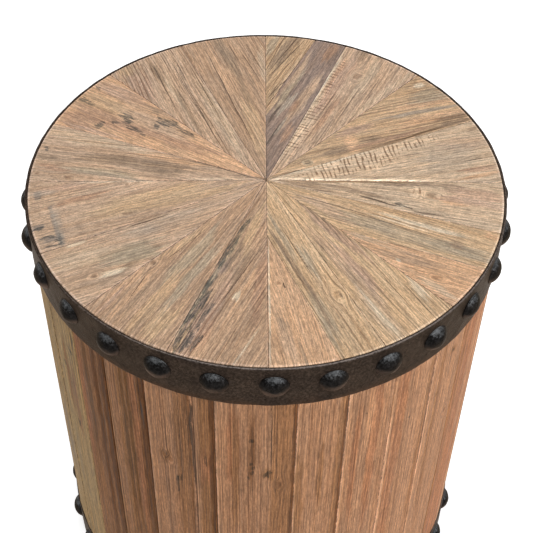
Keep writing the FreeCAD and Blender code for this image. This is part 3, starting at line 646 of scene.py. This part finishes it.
# Each board's grain heading, tone, strength of growth lines and their spacing in mm, and its marks:
# kind, share of the radius, angle, length and width in mm, and heading where it isn't the grain's.
BOARDS = {
    "01": (14, "sand", 0.3, 6, [
        ("saw", 0.41, 18.6, 108, 22, 22), ("saw", 0.66, 21, 60, 15, 22), ("saw", 0.26, 9, 60, 16),
        # along the 0.5 degree seam the bone and worn strips are pale wood with a painted highlight on its
        # edge
        ("saw", 0.47, 12.5, 50, 9, 22), ("bone", 0.36, 1.2, 156, 4.5, 0.5),
        ("worn_and_highlit", 0.36, 1.0, 150, 3.5, 0.5), ("bone", 0.3, 22.6, 110, 3, 23.6),
        ("grey", 0.8, 11.5, 56, 38), ("orange", 0.91, 2.8, 46, 6, 20), ("umber", 0.975, 21, 16, 5, 30),
        ("crack", 0.93, 9.5, 50, 0.9, 16), ("tan", 0.9, 16, 60, 20), ("russet", 0.93, 5.5, 40, 8, 16)]),
    "02": (19, "honey", 0.8, 4, [
        ("umber", 0.72, 24.9, 136, 3.5, 24.4), ("grime_and_shade", 0.8, 24.8, 110, 3, 24.3),
        ("umber", 0.93, 25.3, 40, 8, 25), ("umber", 0.36, 31.5, 32, 12), ("umber", 0.52, 31, 26, 9),
        ("orange", 0.44, 33.5, 30, 17, 110), ("light", 0.44, 33.5, 18, 12, 110),
        ("olive", 0.21, 33, 12, 9), ("knot", 0.21, 33, 7, 5), ("rose", 0.51, 40.4, 40, 12),
        ("olive", 0.93, 38, 40, 24, 30), ("bone", 0.95, 42.8, 12, 8), ("umber", 0.8, 38.2, 104, 1.6, 17),
        ("umber", 0.8, 34.2, 112, 1.6, 17), ("ash", 0.84, 33.4, 90, 6, 17),
        ("orange", 0.85, 29.4, 92, 13, 20), ("umber", 0.94, 27.4, 40, 8, 20),
        ("russet", 0.62, 27, 90, 6, 23), ("orange", 0.86, 36, 60, 8, 17)]),
    "03": (65, "tan", 0.45, 5, [
        ("bone", 0.53, 68.1, 205, 2.6, 68.6), ("sand", 0.4, 65.5, 130, 12, 68.6),
        ("saw", 0.38, 64, 116, 17, 68.6), ("saw", 0.74, 66.6, 70, 9, 68.6),
        ("russet", 0.7, 65.4, 90, 8, 68.6), ("rose", 0.72, 63.7, 120, 12), ("knot", 0.813, 59.6, 10, 8),
        ("sand", 0.75, 48.2, 110, 7, 48), ("crack", 0.62, 54, 110, 0.9), ("crack", 0.74, 51.5, 70, 0.8),
        ("russet", 0.5, 58.5, 66, 8), ("umber", 0.98, 62.6, 14, 24, 150), ("sand", 0.84, 57, 80, 12),
        ("crack", 0.55, 61.5, 120, 0.8)]),
    "04_first_board": (66, "slate", 0.3, 6, [
        ("ash", 0.525, 79.5, 30, 9, 62), ("ash", 0.46, 82, 24, 5, 60), ("tan", 0.55, 73, 90, 12),
        ("soot", 0.4, 87.5, 36, 3), ("honey", 0.5, 87.5, 34, 7, 66), ("olive", 0.62, 80.5, 90, 8),
        ("russet", 0.5, 76, 20, 6), ("tan", 0.72, 79.5, 70, 7), ("soot", 0.3, 84, 40, 3),
        ("ash", 0.36, 80, 34, 3), ("russet", 0.93, 71.8, 40, 12), ("russet", 0.3, 75, 30, 8)]),
    "04_second_board": (66, "honey", 0.75, 5, [
        ("crack", 0.658, 83.8, 74, 1.7, 57), ("crack", 0.6, 84.4, 60, 1.3, 56),
        ("umber", 0.9, 85, 70, 14), ("crack", 0.841, 84.2, 86, 1.9, 59),
        ("crack", 0.851, 86, 80, 1.4, 63), ("crack", 0.873, 88, 68, 1.4, 71),
        ("crack", 0.76, 84.4, 76, 1.2, 61), ("olive", 0.92, 89.2, 40, 10, 74),
        ("crack", 0.5, 88.6, 30, 1.2, 80)]),
    "05": (112, "clay", 0.5, 6, [
        ("orange", 0.77, 107.4, 100, 6, 110), ("crack", 0.59, 107.9, 190, 1.6, 110.2),
        ("umber", 0.9, 103.5, 80, 13), ("crack", 0.78, 96.7, 96, 1.2, 114.7),
        ("crack", 0.82, 94.5, 70, 1.0, 112), ("sand", 0.8, 92.4, 56, 8, 95),
        ("honey", 0.36, 100, 90, 16, 104), ("crack", 0.88, 101, 60, 1.0, 113),
        ("umber", 0.7, 102, 110, 7)]),
    "06": (114, "tan", 1.0, 3.6, [
        ("crack", 0.763, 128.3, 104, 1.5, 112), ("crack", 0.495, 125.2, 76, 1.2, 112),
        ("crack", 0.7, 122, 120, 1.2, 113), ("crack", 0.86, 119, 66, 1.2, 113),
        ("sand", 0.72, 126.5, 70, 9, 114), ("rose", 0.83, 134, 50, 26), ("sand", 0.45, 118, 120, 14),
        ("crack", 0.6, 116.8, 130, 1.2, 112.5), ("umber", 0.6, 128.5, 90, 6, 115),
        ("umber", 0.88, 126, 50, 9, 115), ("honey", 0.97, 133, 20, 18)]),
    "07": (150, "orange", 0.2, 9, [
        ("rose", 0.86, 140.4, 66, 18), ("clay", 0.7, 140.6, 60, 12), ("honey", 0.87, 148, 60, 30),
        ("stain", 0.972, 148.9, 14, 9), ("stain", 0.926, 149.2, 12, 6), ("stain", 0.972, 142.9, 9, 5),
        ("stain", 0.75, 147.6, 17, 9), ("stain", 0.71, 149.8, 13, 11, 120), ("stain", 0.66, 152.4, 20, 8),
        ("stain", 0.76, 152.2, 9, 7), ("stain", 0.81, 155.6, 8, 16, 170), ("stain", 0.57, 142.4, 26, 13),
        ("stain", 0.53, 140.2, 24, 9), ("stain", 0.46, 140.6, 24, 5), ("stain", 0.588, 147, 8, 9),
        ("stain", 0.605, 153.9, 8, 6), ("umber", 0.656, 140, 9, 6), ("umber", 0.434, 141.5, 18, 3),
        ("russet", 0.909, 156.8, 42, 28), ("russet", 0.5, 150, 96, 16), ("russet", 0.78, 152.5, 90, 20),
        ("russet", 0.3, 144, 22, 5), ("tan", 0.62, 146, 80, 22), ("rose", 0.8, 159, 80, 5, 160)]),
    "08": (172, "tan", 0.45, 5, [
        ("sand", 0.8, 163.2, 90, 20, 168), ("sand", 0.58, 163.6, 70, 8, 164),
        ("umber", 0.38, 161.9, 80, 3, 161.5), ("umber", 0.59, 171.2, 60, 16),
        ("umber", 0.425, 173.2, 42, 20), ("umber", 0.95, 173, 42, 6), ("russet", 0.92, 176.8, 32, 9),
        ("stain", 0.966, 170, 5, 8), ("knot", 0.835, 180.5, 7, 6), ("knot", 0.97, 179.2, 4, 4),
        ("crack", 0.17, 162.4, 76, 1.6, 159.5), ("olive", 0.71, 178, 80, 11),
        ("sand", 0.2, 181, 60, 4, 182), ("orange", 0.42, 164, 60, 10, 166),
        ("umber", 0.72, 171.5, 56, 12)]),
    "09": (201, "tan", 0.4, 4.5, [
        ("bone", 0.6, 182.9, 68, 2.2, 182.3), ("knot", 0.603, 183.0, 5, 4), ("knot", 0.587, 184.6, 4, 3),
        ("rose", 0.86, 185, 60, 10, 190), ("russet", 0.77, 190, 60, 8, 200), ("wheat", 0.5, 196, 120, 26),
        ("knot", 0.608, 201.2, 10, 4), ("grey", 0.887, 198.5, 66, 8, 108),
        ("grey", 0.949, 187, 26, 9, 10), ("lead", 0.9, 198.5, 44, 5, 109),
        ("lead", 0.897, 204, 20, 7, 109), ("lead", 0.955, 187.5, 12, 8, 100),
        ("lead", 0.965, 198.4, 13, 8), ("lead", 0.94, 203.4, 16, 7), ("stain", 0.9, 204, 14, 4, 109),
        ("stain", 0.945, 202.4, 13, 6), ("stain", 0.925, 204.6, 14, 5, 30), ("stain", 0.965, 199, 12, 6),
        ("stain", 0.972, 202.6, 10, 5), ("stain", 0.94, 205.9, 26, 4, 17), ("honey", 0.3, 200, 80, 12)]),
    "10": (204, "tan", 0.3, 5, [
        ("crack", 0.57, 208.4, 50, 2.2, 204.5), ("olive", 0.7, 219, 60, 24),
        ("umber", 0.7, 223.2, 70, 7, 226), ("olive", 0.667, 220.8, 40, 22), ("bone", 0.804, 222.6, 24, 7),
        ("knot", 0.875, 220.2, 6, 5), ("sand", 0.87, 213, 60, 24), ("umber", 0.94, 221.8, 32, 3),
        ("grey", 0.5, 213, 70, 16), ("bone", 0.86, 207.6, 20, 4)]),
    "11": (241, "clay", 0.55, 5, [
        ("orange", 0.82, 228.8, 64, 9, 238), ("crack", 0.79, 231.5, 76, 1.1, 247),
        ("honey", 0.5, 229, 60, 7, 228), ("crack", 0.52, 230.6, 90, 0.9, 229),
        ("knot", 0.657, 228.2, 6, 5), ("orange", 0.87, 232.5, 56, 8, 240),
        ("umber", 0.84, 234.3, 66, 3, 243), ("olive", 0.54, 237, 80, 14, 238),
        ("honey", 0.82, 239, 80, 14), ("wheat", 0.89, 244, 40, 20), ("rose", 0.9, 229.5, 40, 6, 238),
        ("olive", 0.62, 243, 90, 10)]),
    "12": (246, "clay", 0.7, 4.5, [
        ("stain", 0.428, 250.8, 44, 9), ("stain", 0.303, 252.6, 34, 5), ("stain", 0.51, 249.9, 24, 10),
        ("slate", 0.53, 252.4, 26, 9), ("stain", 0.66, 250.2, 40, 7), ("stain", 0.8, 249.8, 44, 8),
        ("slate", 0.86, 251.4, 70, 12), ("stain", 0.773, 251.2, 52, 7), ("stain", 0.947, 249.9, 30, 9),
        ("stain", 0.93, 252, 34, 8), ("wheat", 0.38, 252.8, 70, 4, 250), ("olive", 0.72, 249.6, 120, 5),
        ("wheat", 0.9, 250.8, 60, 3), ("stain", 0.92, 254.2, 22, 6), ("stain", 0.78, 253.8, 42, 5),
        ("rose", 0.72, 255.5, 130, 12), ("crack", 0.549, 260.5, 92, 1.2, 243.4),
        ("orange", 0.66, 262.5, 84, 5, 247), ("russet", 0.6, 268.4, 90, 11, 265),
        ("bone", 0.91, 266, 44, 1.6, 242), ("bone", 0.672, 261, 11, 7), ("umber", 0.42, 256, 60, 6),
        ("wheat", 0.3, 260.5, 60, 9, 256), ("russet", 0.88, 255, 50, 12),
        ("umber", 0.5, 260, 60, 9, 250)]),
    "13_first_board": (284, "orange", 0.12, 6, [
        ("crack", 0.604, 277.4, 10, 2.2, 286), ("bone", 0.69, 271.7, 160, 1.8, 271.2),
        ("umber", 0.93, 279, 40, 3), ("umber", 0.8, 275, 16, 8), ("clay", 0.88, 276, 50, 12),
        ("knot", 0.59, 275.6, 4, 4)]),
    "13_second_board": (295, "wheat", 0.7, 5, [
        ("umber", 0.5, 283, 104, 5, 297), ("olive", 0.35, 281.5, 60, 6, 296),
        ("olive", 0.8, 287.4, 70, 14, 291), ("umber", 0.72, 287, 90, 3, 292),
        ("knot", 0.704, 293.9, 9, 8), ("olive", 0.52, 291, 50, 9), ("crack", 0.45, 287.5, 110, 0.9, 296),
        ("crack", 0.6, 290, 110, 0.8, 296), ("honey", 0.7, 291, 60, 10)]),
    "14": (303, "wheat", 0.6, 4, [
        ("umber", 0.34, 315, 100, 5, 314), ("rose", 0.45, 312.5, 80, 10, 312),
        ("bone", 0.86, 314.6, 28, 8), ("crack", 0.82, 309.5, 80, 1.0, 302),
        ("crack", 0.86, 312.5, 60, 1.0, 302), ("crack", 0.8, 306, 70, 0.8), ("tan", 0.6, 303, 130, 16),
        ("rose", 0.62, 306, 70, 10), ("crack", 0.5, 300.5, 100, 0.8, 301), ("sand", 0.85, 301, 70, 14),
        ("bone", 0.88, 301, 50, 6)]),
    "15_first_board": (337, "orange", 0.2, 6, [
        ("clay", 0.72, 322.5, 60, 14, 340), ("bone", 0.7, 319.6, 5, 4), ("knot", 0.87, 321.3, 8, 5),
        ("sand", 0.88, 318.4, 40, 8, 320), ("sand", 0.52, 321.6, 44, 12, 330),
        ("orange", 0.92, 330, 40, 9), ("bone", 0.5, 322, 50, 5)]),
    "15_second_board": (338, "wheat", 0.5, 5, [
        ("olive", 0.66, 331.5, 190, 18), ("honey", 0.53, 336, 200, 10, 339),
        ("bone", 0.62, 336, 76, 1.6, 338), ("crack", 0.35, 332.3, 90, 1.2, 339),
        ("olive", 0.84, 333.5, 60, 14), ("umber", 0.85, 335, 14, 10), ("orange", 0.975, 341, 20, 7),
        ("crack", 0.55, 333.5, 110, 0.9, 338), ("tan", 0.3, 326, 60, 14, 325),
        ("bone", 0.7, 338.4, 80, 6, 340)]),
    "16": (350, "sand", 0.3, 6, [
        # the dark strip along the 0.5 degree seam, at share 0.42, is a painted shadow line
        ("grime_and_shade", 0.42, 359.8, 150, 4, 0.5), ("umber", 0.62, 358.6, 80, 5, 0),
        ("umber", 0.22, 351, 64, 12, 352), ("crack", 0.45, 346.4, 54, 3.6, 339),
        ("crack", 0.72, 344.4, 34, 2.6, 350), ("crack", 0.6, 345.4, 26, 3.2, 335),
        ("bone", 0.58, 345.8, 13, 4), ("stain", 0.565, 347, 9, 4), ("knot", 0.7, 353.4, 9, 8),
        ("umber", 0.78, 357.6, 26, 10), ("saw", 0.645, 354, 14, 16), ("orange", 0.78, 351.5, 26, 14),
        ("rose", 0.88, 354, 60, 26), ("sand", 0.46, 351, 90, 20), ("umber", 0.4, 350.5, 50, 6, 342)]),
}


def polar(share, angle):
    return TOP_RIM * share * heading(angle)


def reach_along(pole, turn, cuts):
    """Distance from a point, along a heading, to the rim or to the first line that cuts it off."""
    ray = heading(turn)
    toward = pole @ ray
    far = -toward + math.sqrt(toward ** 2 + TOP_RIM ** 2 - pole @ pole)
    for point, angle in cuts:
        aside = heading(angle + 90)
        slope = ray @ aside
        if abs(slope) > 1e-9:
            met = ((point - pole) @ aside) / slope
            if met > 1e-6:
                far = min(far, met)
    return far


def top_board(label, pole, first, last, lines, cuts=(), corner=None):
    """A board that fans out from one corner, between two headings, to the rim and any cut."""
    grain, tone, growth_lines, spacing, marks = BOARDS[label]
    margin = np.degrees(BOARD_EDGE_STEPS / TOP_RIM)
    even = np.linspace(first + EVEN_RAYS_FROM, last - EVEN_RAYS_FROM,
                       int(math.radians(last - first) * TOP_RIM / BOARD_STEP))
    turns = np.concatenate([first + margin, even, last - margin[::-1]])
    if corner is not None:
        turns = np.sort(np.append(turns, corner))
    reaches = np.array([reach_along(pole, turn, cuts) for turn in turns])
    longest = reaches.max()
    shares = np.linspace(FIRST_ROW, 1 - EVEN_ROWS_FROM / longest, int(longest / BOARD_STEP))
    rays = np.stack([heading(turn) for turn in turns])
    far = np.concatenate([shares[:, None] * reaches, reaches - BOARD_EDGE_STEPS[::-1, None]])
    grid = pole + far[:, :, None] * rays
    top = np.concatenate([pole[None], grid.reshape(-1, 2)])
    # ease every upper edge, and draw the board in from its neighbours by a hair
    edge = np.full(len(top), UNWORN)
    for point, angle in lines:
        into = heading(angle + 90) * np.sign((grid.mean((0, 1)) - point) @ heading(angle + 90))
        gap = (top - point) @ into
        top = top + into * np.clip(BOARD_GAP - gap, 0, BOARD_GAP)[:, None]
        edge = np.minimum(edge, gap)
    to_rim = TOP_RIM - np.hypot(*top.T)
    drop = eased(edge, *BOARD_EASE) + eased(to_rim, *RIM_EASE)
    index = 1 + np.arange(far.size).reshape(far.shape)
    faces = [(0, near, beyond) for near, beyond in zip(index[0], index[0, 1:])]
    for inner, outer in zip(index, index[1:]):
        faces += zip(inner[:-1], outer[:-1], outer[1:], inner[1:])
    border = np.concatenate([[0], index[:, 0], index[-1, 1:], index[-2::-1, -1]])
    lower = len(top) + np.arange(len(border))
    faces += zip(lower, np.roll(lower, -1), np.roll(border, -1), border)
    faces.append(tuple(lower[::-1]))
    plan = np.concatenate([top, top[border]])
    height = np.concatenate([TOP_FACE - drop, np.full(len(border), BOARD_BACK)])
    piece = new_piece("pine_wedge_" + label, np.column_stack([plan, height]), faces,
                      board_finish("wedge_pine_" + label, growth_lines, spacing, 0.3))
    placed = [(kind, polar(share, angle), length / 1000, breadth / 1000, turn[0] if turn else grain)
              for kind, share, angle, length, breadth, *turn in marks]
    edge, to_rim = np.append(edge, edge[border]), np.append(to_rim, to_rim[border])
    face = np.where(np.arange(len(plan)) < len(top), smooth(np.minimum(edge, to_rim) / 0.0016), 0)
    # the rubbed pale edge, wear and painted highlight, is strongest at the rim and weaker along the seams
    arris = np.minimum(to_rim * 1.1, edge + 0.0012)
    seed = BOARD_SEED + list(BOARDS).index(label)
    finish_board(piece, face, edge + GLUED, arris, paint_board(plan, grain, tone, placed, seed),
                 "top_wedge_" + label, "top_boards")


for number, seam in enumerate(WEDGE_SEAMS, start=1):
    next_seam = WEDGE_SEAMS[number % len(WEDGE_SEAMS)]
    last = next_seam if next_seam > seam else next_seam + 360
    centre = np.zeros(2)
    sides = [(centre, seam), (centre, next_seam)]
    if number not in WEDGE_JOINTS:
        top_board("%02d" % number, centre, seam, last, sides)
        continue
    left_seam, share, joint_heading = WEDGE_JOINTS[number]
    joint = (polar(share, left_seam), joint_heading)
    tip = joint[0] + heading(joint_heading) * reach_along(joint[0], joint_heading, [])
    tip_angle = math.degrees(math.atan2(tip[1], tip[0])) % 360
    inner_board, outer_board = "%02d_second_board" % number, "%02d_first_board" % number
    if left_seam == next_seam:
        inner_board, outer_board = outer_board, inner_board
    top_board(inner_board, centre, seam, last, sides + [joint], [joint], tip_angle)
    fan = sorted([left_seam, joint_heading])
    top_board(outer_board, joint[0], *fan, [(centre, left_seam), joint])

# ---------------------------------------------------------------- iron bands
# Two flat hoops of blackened iron, 56 mm wide, hammered and waxed. They are almost black with a brown
# bloom, and the upper edges have worn to grey; that grey is made brightest on the front right as a
# painted highlight.

BAND_OUTSIDE, BAND_INSIDE = 0.2548, 0.2516
BAND_WIDTH = 0.0565
BANDS = {"upper_iron_band": 0.5271, "lower_iron_band": 0.0040}  # height of each lower edge
BAND_ARRIS = np.array([[0.0012, 0.0], [0.0005, 0.0002], [0.0001, 0.0006], [0.0, 0.0013]])  # in and up
BAND_EVEN_FROM = 0.0030
BAND_STEPS = 640  # points round the band
HIGHLIT_SIDE = math.radians(-60)  # the front right, where the worn grey is made brightest as a painted highlight


def iron_finish(name, dark, brown, worn_and_highlit, rust):
    """Waxed black iron: brown bloom, grit, rust, and a rubbed grey where it is worn; the grey is also
    painted highlight, and on the nails the brown underneath is also painted reflection.
    """
    material = new_finish(name, Metallic=1.0, Specular_Tint=(0.7, 0.64, 0.58, 1))
    place = place_on(material)
    cloud = noise(place * (28, 28, 40), 4, 0.65)
    grit = noise(place * 420, 4, 0.75)
    pits = rise(noise(place * 300, 2, 0.6), 0.6, 0.72)
    wear, rusting = (wire(place.tree, "ShaderNodeAttribute", output="Fac", attribute_name=key)
                     for key in ("wear", "rust"))
    colour = lay(rise(cloud, 0.3, 0.7), dark, brown)
    colour = lay(rise(grit, 0.4, 0.68), colour * 0.72, colour * 2.3)
    colour = lay(rusting * rise(cloud, 0.3, 0.6), colour, rust)
    colour = lay(rise(grit * 1.4 + (wear - 1.0), 0.0, 0.8), colour, worn_and_highlit)
    colour = lay(pits * 0.5, colour, paint(20, 17, 15))
    height = noise(place * 75) * 0.8 + grit * 0.35 + pits * -0.4
    return coat(material, colour, spread(grit, 0.42, 0.6, 0.3, 0.7), height, relief=0.0009)


band_iron = iron_finish("blackened_band_iron", paint(40, 33, 29), paint(51, 42, 36),
                        paint(118, 109, 104), paint(74, 52, 38))


def beaten_skin_tree():
    """Dents in beaten iron: the skin sinks along its normal, unevenly, and never stands proud."""
    tree, given = new_tree("beaten_skin", "GeometryNodeTree", {
        "Iron": "Geometry", "Dent depth": 0.0004, "Dents per metre": 60.0, "Coat": "Material",
    }, {"Iron": "Geometry"})
    beaten = rise(noise(wire(tree, "GeometryNodeInputPosition") * given["Dents per metre"]), 0.3, 0.75)
    hand_over(sunk(given["Iron"], beaten * given["Dent depth"]), given["Coat"])
    return tree


beaten_skin = beaten_skin_tree()
for node, low in BANDS.items():
    outer = [(BAND_OUTSIDE - drawn, low + up) for drawn, up in BAND_ARRIS]
    even = np.linspace(BAND_EVEN_FROM, BAND_WIDTH - BAND_EVEN_FROM, 22)
    outer += [(BAND_OUTSIDE, low + up) for up in even]
    outer += [(BAND_OUTSIDE - drawn, low + BAND_WIDTH - up) for drawn, up in BAND_ARRIS[::-1]]
    inner = [(BAND_INSIDE + 0.0004, low + BAND_WIDTH), (BAND_INSIDE, low + BAND_WIDTH - 0.0005),
             (BAND_INSIDE, low + 0.0005), (BAND_INSIDE + 0.0004, low)]
    section = np.array(outer + inner)
    turn = np.linspace(0, 2 * math.pi, BAND_STEPS, endpoint=False)
    points = np.stack([section[:, 0] * np.cos(turn)[:, None], section[:, 0] * np.sin(turn)[:, None],
                       np.tile(section[:, 1], (BAND_STEPS, 1))], 2)
    count = len(section)
    step, corner = np.meshgrid(np.arange(BAND_STEPS), np.arange(count), indexing="ij")
    ahead, above = (step + 1) % BAND_STEPS, (corner + 1) % count
    faces = np.stack([step * count + corner, ahead * count + corner, ahead * count + above,
                      step * count + above], 2).reshape(-1, 4)
    piece = new_piece("beaten_" + node, points.reshape(-1, 3), faces.tolist(), band_iron)
    to_arris = np.minimum(section[:, 1] - low, low + BAND_WIDTH - section[:, 1])
    # the worn grey of the arrises, made strongest on the front right as a painted highlight
    wear = np.where(section[:, 0] > BAND_INSIDE + 0.001, 0.85 * np.exp(-to_arris / 0.0015), 0.1)
    highlit_share = 0.5 + 0.5 * np.cos(turn - HIGHLIT_SIDE)
    rust = np.tile(np.exp(-(section[:, 1] - low) / 0.004), BAND_STEPS)
    carry(piece.data, wear=np.outer(highlit_share, wear), rust=rust)
    shape(piece, beaten_skin, Dent_depth=0.0005, Dents_per_metre=55.0, Coat=band_iron)
    piece.data.set_sharp_from_angle(angle=math.radians(60))
    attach(piece, "root")
    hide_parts(node)

# ---------------------------------------------------------------- domed nails
# Twenty-eight forged nails in each band, 30 mm over their domed heads. Each head was beaten by hand, so
# no two are quite alike; they are waxed black, with rubbed grey and a painted highlight on top, and rust
# and a painted reflection underneath.

NAIL_COUNT = 28
FIRST_NAIL = -87.5
NAIL_HEAD = 0.0300
NAIL_DOME = 0.0086
NAIL_SINK = 0.0012  # how far the head's rim goes into the band, which is curved and beaten
NAIL_SIDES = 36
NAIL_ROWS = {"upper_band_studs": 0.5576, "lower_band_studs": 0.0322}

# the nails' grey is rubbed iron and painted highlight, their brown rust and painted reflection
head_iron = iron_finish("waxed_nail_iron", paint(21, 20, 20), paint(30, 28, 27), paint(108, 110, 112),
                        paint(84, 69, 61))


def nail_row_tree():
    """One nail head repeated round the drum, each turned, sized and beaten a little differently."""
    tree, given = new_tree("nail_row", "GeometryNodeTree", {
        "Head": "Geometry", "Nails": 28, "Radius": 0.25, "Height": 0.5, "First nail": 0.0,
        "Unevenness": 0.0007, "Beating": 0.0004, "Iron": "Material",
    }, {"Row": "Geometry"})
    index = wire(tree, "GeometryNodeInputIndex")

    def random(low, high, seed):
        """A value for each nail between two limits."""
        return wire(tree, "FunctionNodeRandomValue", {2: low, 3: high, "ID": index, "Seed": seed}, 1,
                    data_type="FLOAT")

    def joined(*parts):
        return wire(tree, "ShaderNodeCombineXYZ", dict(enumerate(parts)))

    step = wire(tree, "ShaderNodeMath", {0: 2 * math.pi, 1: given["Nails"]}, operation="DIVIDE")
    turn = index * step + given["First nail"]
    place = joined(given["Radius"] * turn.maths("COSINE"), given["Radius"] * turn.maths("SINE"),
                   given["Unevenness"] * random(-1.0, 1.0, 3) + given["Height"])
    spin = joined(random(0.0, 6.28, 5), random(-0.03, 0.03, 7), turn)
    size = random(0.965, 1.0, 11)
    heads = wire(tree, "GeometryNodeInstanceOnPoints", {
        "Points": wire(tree, "GeometryNodePoints", {"Count": given["Nails"], "Position": place}),
        "Instance": given["Head"], "Rotation": spin,
        "Scale": joined(random(0.93, 1.0, 13), size, size)})
    real = wire(tree, "GeometryNodeRealizeInstances", {0: heads})
    beaten = rise(noise(wire(tree, "GeometryNodeInputPosition") * 110), 0.3, 0.7)
    hand_over(sunk(real, beaten * given["Beating"]), given["Iron"])
    return tree


nail_row = nail_row_tree()
ball = (NAIL_HEAD ** 2 / 4 + NAIL_DOME ** 2) / (2 * NAIL_DOME)  # radius of the dome's sphere
widest = math.asin(NAIL_HEAD / 2 / ball)
profile = [(-NAIL_SINK, NAIL_HEAD / 2), (0.0003, NAIL_HEAD / 2)]
profile += [(ball * math.cos(lean) - ball + NAIL_DOME, ball * math.sin(lean))
            for lean in np.linspace(widest * 0.965, widest * 0.06, 13)]
ring = np.linspace(0, 2 * math.pi, NAIL_SIDES, endpoint=False)
head_points = [(out, radius * math.cos(a), radius * math.sin(a)) for out, radius in profile for a in ring]
crown = len(head_points)
head_points.append((NAIL_DOME, 0.0, 0.0))
head_faces = loop_faces(len(profile), NAIL_SIDES)
last_ring = np.arange(crown - NAIL_SIDES, crown)
head_faces += [(a, b, crown) for a, b in zip(last_ring, np.roll(last_ring, -1))]
head_faces.append(tuple(range(NAIL_SIDES))[::-1])
for node, height in NAIL_ROWS.items():
    piece = new_piece("domed_" + node, head_points, head_faces, head_iron)
    shape(piece, nail_row, Nails=NAIL_COUNT, Radius=BAND_OUTSIDE, Height=height,
          First_nail=math.radians(FIRST_NAIL), Iron=head_iron)
    normals = np.zeros((len(piece.data.vertices), 3), np.float32)
    piece.data.vertex_normals.foreach_get("vector", normals.ravel())
    turned_up = normals[:, 2]
    # the upward-facing part of each head is rubbed grey and painted highlight; the downward-facing part
    # is rust and painted reflection
    carry(piece.data, wear=smooth((turned_up - 0.12) / 0.85) * 0.8,
          rust=smooth((0.1 - turned_up) / 0.3))  # the rust and painted reflection gather underneath
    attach(piece, "root")
    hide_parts(node)

# ---------------------------------------------------------------- studio
# A pale floor under a white room: a broad overhead softbox, a softer one from the front right,
# and an even wash from all round.

FLOOR_SIZE = 12
FLOOR_GLOW = 0.7  # what the floor adds to its own colour where it is looked at
ROOM_LIGHT, ROOM_SEEN = 0.36, 1.0  # the room as a light, and as it looks


def looked_at(tree):
    """1 for a ray that shows a surface, straight, mirrored or through glass; 0 for light."""
    rays = add(tree, "ShaderNodeLightPath")
    straight, mirrored, through = (Wire(rays, "Is %s Ray" % kind)
                                   for kind in ("Camera", "Glossy", "Transmission"))
    return straight.maths("MAXIMUM", mirrored.maths("MAXIMUM", through))


bpy.ops.mesh.primitive_plane_add(size=FLOOR_SIZE)
floor = bpy.context.object
floor.name = "studio_floor"
floor_paint = new_finish("studio_floor_paint", Base_Color=paint(242, 242, 242), Roughness=0.9,
                         Specular_IOR_Level=0.1)
tree = floor_paint.node_tree
glow = wire(tree, "ShaderNodeEmission", {"Color": (1, 1, 1, 1),
                                         "Strength": looked_at(tree) * FLOOR_GLOW})
both = wire(tree, "ShaderNodeAddShader", {0: Wire(tree.nodes["Principled BSDF"]), 1: glow})
tree.links.new(both.socket, tree.nodes["Material Output"].inputs["Surface"])
floor.data.materials.append(floor_paint)

world = bpy.data.worlds.new("studio_room")
bpy.context.scene.world = world
world.use_nodes = True
tree = world.node_tree
strength = spread(looked_at(tree), ROOM_LIGHT, ROOM_SEEN)
tree.links.new(strength.socket, tree.nodes["Background"].inputs["Strength"])
tree.nodes["Background"].inputs["Color"].default_value = (1, 1, 1, 1)


def softbox(name, place, aim, size, power):
    """A square lamp of a size in metres and a power in watts, turned to face a point."""
    lamp = bpy.data.lights.new(name, "AREA")
    lamp.shape = "SQUARE"
    lamp.size = size
    lamp.energy = power
    holder = bpy.data.objects.new(name, lamp)
    bpy.context.scene.collection.objects.link(holder)
    holder.location = place
    away = np.array(place) - np.array(aim)
    holder.rotation_euler = (math.atan2(math.hypot(away[0], away[1]), away[2]), 0,
                             math.atan2(away[0], -away[1]))


softbox("overhead_softbox", (-0.2, 0.5, 2.4), (0, 0, 0.5), 1.6, 21)
softbox("front_right_softbox", (1.6, -1.45, 1.35), (0, 0, 0.35), 1.2, 23)

camera = bpy.data.cameras.new("studio_camera")
camera.sensor_width = 36
camera.lens = 81.09
viewer = bpy.data.objects.new("studio_camera", camera)
bpy.context.scene.collection.objects.link(viewer)
viewer.location = (0.0004, -0.9315, 1.4621)
viewer.rotation_euler = [math.radians(angle) for angle in (42.528, -0.764, 0.735)]
bpy.context.scene.camera = viewer
bpy.context.scene.view_settings.view_transform = "Standard"
